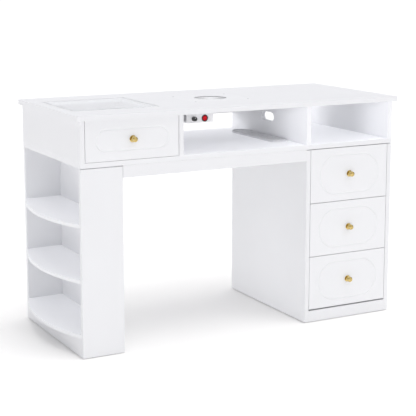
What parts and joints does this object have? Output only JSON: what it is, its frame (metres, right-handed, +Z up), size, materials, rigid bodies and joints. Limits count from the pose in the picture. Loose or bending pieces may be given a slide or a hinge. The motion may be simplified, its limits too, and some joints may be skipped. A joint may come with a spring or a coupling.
{
  "type": "manicure table",
  "caption": "White manicure table with a shelf leg of arched shelves, a drawer pedestal, a display drawer under glass, a dust collector in the top and an open niche with switch and power strip.",
  "frame": {"origin": "middle of the overall footprint, on the floor", "axes": "+Z up, the drawers and niche face -Y, the shelf leg is at -X"},
  "size_m": [1.2329, 0.542, 0.77],
  "materials": {
    "white_laminate": "satin white laminate on board",
    "white_paint": "satin white paint on board",
    "drawer_board": "matt white-faced board",
    "clear_glass": "clear",
    "polished_brass": "polished",
    "zinc_steel": "zinc plated",
    "bright_steel": "bright",
    "dark_steel": "dark zinc plated",
    "white_metal": "satin powder coat",
    "grille_steel": "off-white coat",
    "black_plastic": "matt black",
    "grey_plastic": "matt grey",
    "white_plastic": "satin white",
    "red_plastic": "translucent red"
  },
  "bodies": {
    "table": {"tabletop": "white_laminate", "glass_pane": "clear_glass", "box_left_side": "white_laminate", "box_right_side": "white_laminate", "box_floor": "white_laminate", "left_divider": "white_laminate", "right_divider": "white_laminate", "drawer_bay_back": "white_laminate", "niche_back_rail": "white_laminate", "apron": "white_laminate", "leg_front_panel": "white_laminate", "leg_back_panel": "white_laminate", "leg_inner_panel": "white_laminate", "leg_upper_shelf": "white_laminate", "leg_lower_shelf": "white_laminate", "leg_bottom_shelf": "white_laminate", "leg_plinth": "white_laminate", "pedestal_left_side": "white_laminate", "pedestal_right_side": "white_laminate", "pedestal_back": "drawer_board", "pedestal_floor": "white_laminate", "pedestal_plinth": "white_laminate", "foot_glides": "grey_plastic", "cabinet_rails": "zinc_steel", "dust_plate": "white_metal", "plate_screws": "dark_steel", "finger_guard": "grille_steel", "fan_housing": "black_plastic", "fan_motor": "bright_steel", "control_box": "white_plastic", "rocker_bezel": "black_plastic", "power_strip": "white_plastic", "strip_outlets": "white_plastic"},
    "display_drawer": {"display_drawer_front": "white_paint", "display_drawer_sides": "drawer_board", "display_drawer_back": "drawer_board", "display_drawer_bottom": "drawer_board", "display_drawer_rails": "zinc_steel", "display_drawer_knob": "polished_brass"},
    "upper_drawer": {"upper_drawer_front": "white_paint", "upper_drawer_sides": "drawer_board", "upper_drawer_back": "drawer_board", "upper_drawer_bottom": "drawer_board", "upper_drawer_rails": "zinc_steel", "upper_drawer_knob": "polished_brass"},
    "middle_drawer": {"middle_drawer_front": "white_paint", "middle_drawer_sides": "drawer_board", "middle_drawer_back": "drawer_board", "middle_drawer_bottom": "drawer_board", "middle_drawer_rails": "zinc_steel", "middle_drawer_knob": "polished_brass"},
    "lower_drawer": {"lower_drawer_front": "white_paint", "lower_drawer_sides": "drawer_board", "lower_drawer_back": "drawer_board", "lower_drawer_bottom": "drawer_board", "lower_drawer_rails": "zinc_steel", "lower_drawer_knob": "polished_brass"},
    "impeller": {"impeller": "black_plastic"},
    "power_rocker": {"power_rocker": "red_plastic"},
    "speed_knob": {"speed_knob": "black_plastic"}
  },
  "joints": [
    {"name": "display_drawer_slide", "type": "slide", "parent": "table", "child": "display_drawer", "axis": [0, -1, 0], "range_m": [0, 0.3]},
    {"name": "upper_drawer_slide", "type": "slide", "parent": "table", "child": "upper_drawer", "axis": [0, -1, 0], "range_m": [0, 0.3]},
    {"name": "middle_drawer_slide", "type": "slide", "parent": "table", "child": "middle_drawer", "axis": [0, -1, 0], "range_m": [0, 0.3]},
    {"name": "lower_drawer_slide", "type": "slide", "parent": "table", "child": "lower_drawer", "axis": [0, -1, 0], "range_m": [0, 0.3]},
    {"name": "impeller_spin", "type": "hinge", "parent": "table", "child": "impeller", "pos_m": [0.0185, 0.006, 0.745], "axis": [0, 0, 1], "continuous": true},
    {"name": "rocker_tilt", "type": "hinge", "parent": "table", "child": "power_rocker", "pos_m": [-0.1285, -0.228, 0.735], "axis": [1, 0, 0], "range_deg": [-22, 0]},
    {"name": "speed_knob_turn", "type": "hinge", "parent": "table", "child": "speed_knob", "pos_m": [-0.1685, -0.231, 0.735], "axis": [0, 1, 0], "range_deg": [0, 280]}
  ]
}
